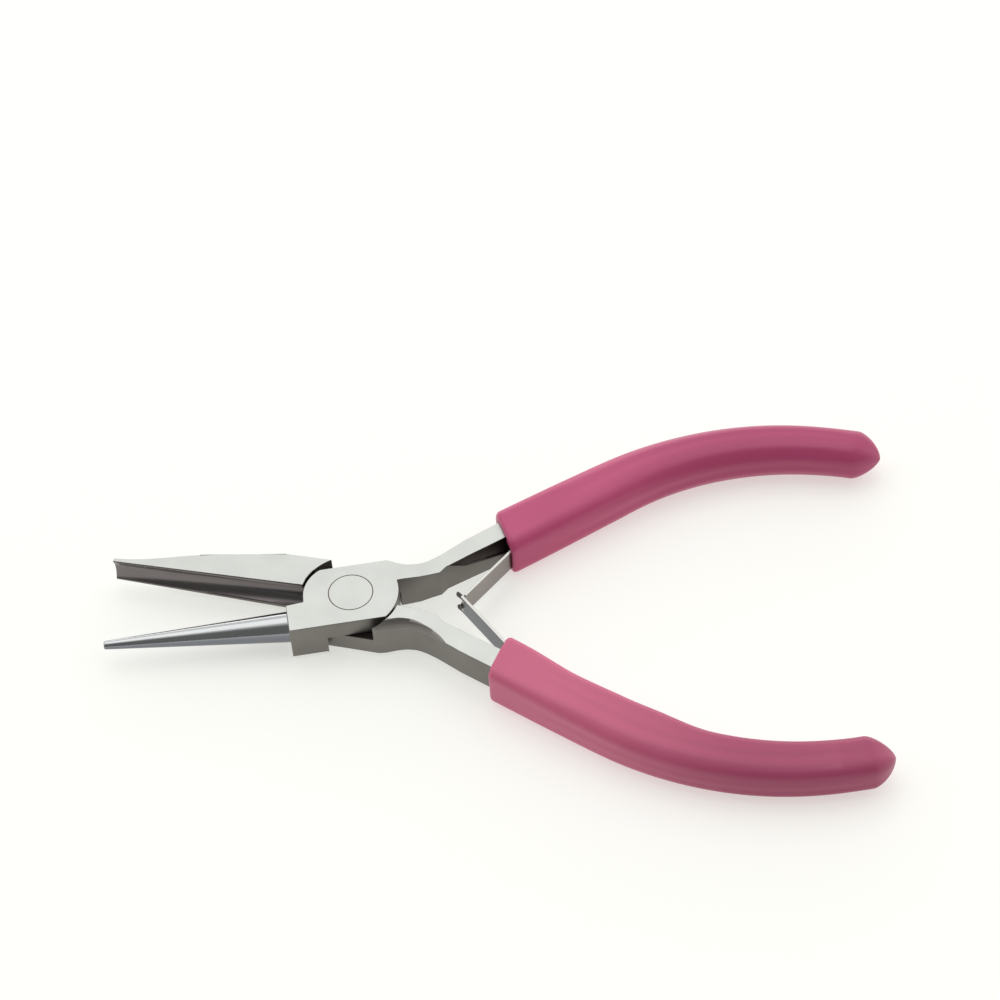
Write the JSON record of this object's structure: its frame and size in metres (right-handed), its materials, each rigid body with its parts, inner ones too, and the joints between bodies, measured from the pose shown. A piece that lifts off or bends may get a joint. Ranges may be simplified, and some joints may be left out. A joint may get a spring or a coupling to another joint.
{
  "type": "wire looping pliers",
  "caption": "Small jewellery pliers with a round tapered jaw that closes into a hollow jaw, a riveted lap joint, crossed leaf springs and dipped soft grips.",
  "frame": {"origin": "pivot axis, on the back face of the lap joint", "axes": "+X from the joint towards the handle ends, +Y from the lower handle to the upper one, +Z along the pivot towards the face with the upper lever's plate"},
  "size_m": [0.1258, 0.073, 0.0077],
  "materials": {
    "lever_steel": "satin ground carbon steel",
    "rivet_steel": "ground flush with the joint",
    "spring_steel": "tempered strip, darker than the levers",
    "grip_vinyl": "dipped soft vinyl, glossy rose pink"
  },
  "bodies": {
    "upper_half": {"round_jaw_lever": "lever_steel", "pivot_rivet": "rivet_steel", "upper_grip": "grip_vinyl", "upper_leaf_root": "spring_steel", "upper_leaf_rivet": "rivet_steel"},
    "lower_half": {"hollow_jaw_lever": "lever_steel", "lower_grip": "grip_vinyl", "lower_leaf_root": "spring_steel", "lower_leaf_rivet": "rivet_steel"},
    "upper_leaf": {"upper_leaf_blade": "spring_steel"},
    "lower_leaf": {"lower_leaf_blade": "spring_steel"}
  },
  "joints": [
    {"name": "pivot", "type": "hinge", "parent": "upper_half", "child": "lower_half", "pos_m": [0, 0, 0.00335], "axis": [0, 0, 1], "range_deg": [0, 22.3], "stiffness_Nm_per_rad": 0.5},
    {"name": "upper_leaf_bend", "type": "hinge", "parent": "upper_half", "child": "upper_leaf", "pos_m": [0.02824, 0.01327, 0.00335], "axis": [0, 0, 1], "range_deg": [-14.4, 0]},
    {"name": "lower_leaf_bend", "type": "hinge", "parent": "lower_half", "child": "lower_leaf", "pos_m": [0.02824, -0.01327, 0.00335], "axis": [0, 0, 1], "range_deg": [0, 14.4]}
  ],
  "couplings": [
    {"joint": "upper_leaf_bend", "follows": "pivot", "ratio": -0.644},
    {"joint": "lower_leaf_bend", "follows": "pivot", "ratio": 0.644}
  ]
}
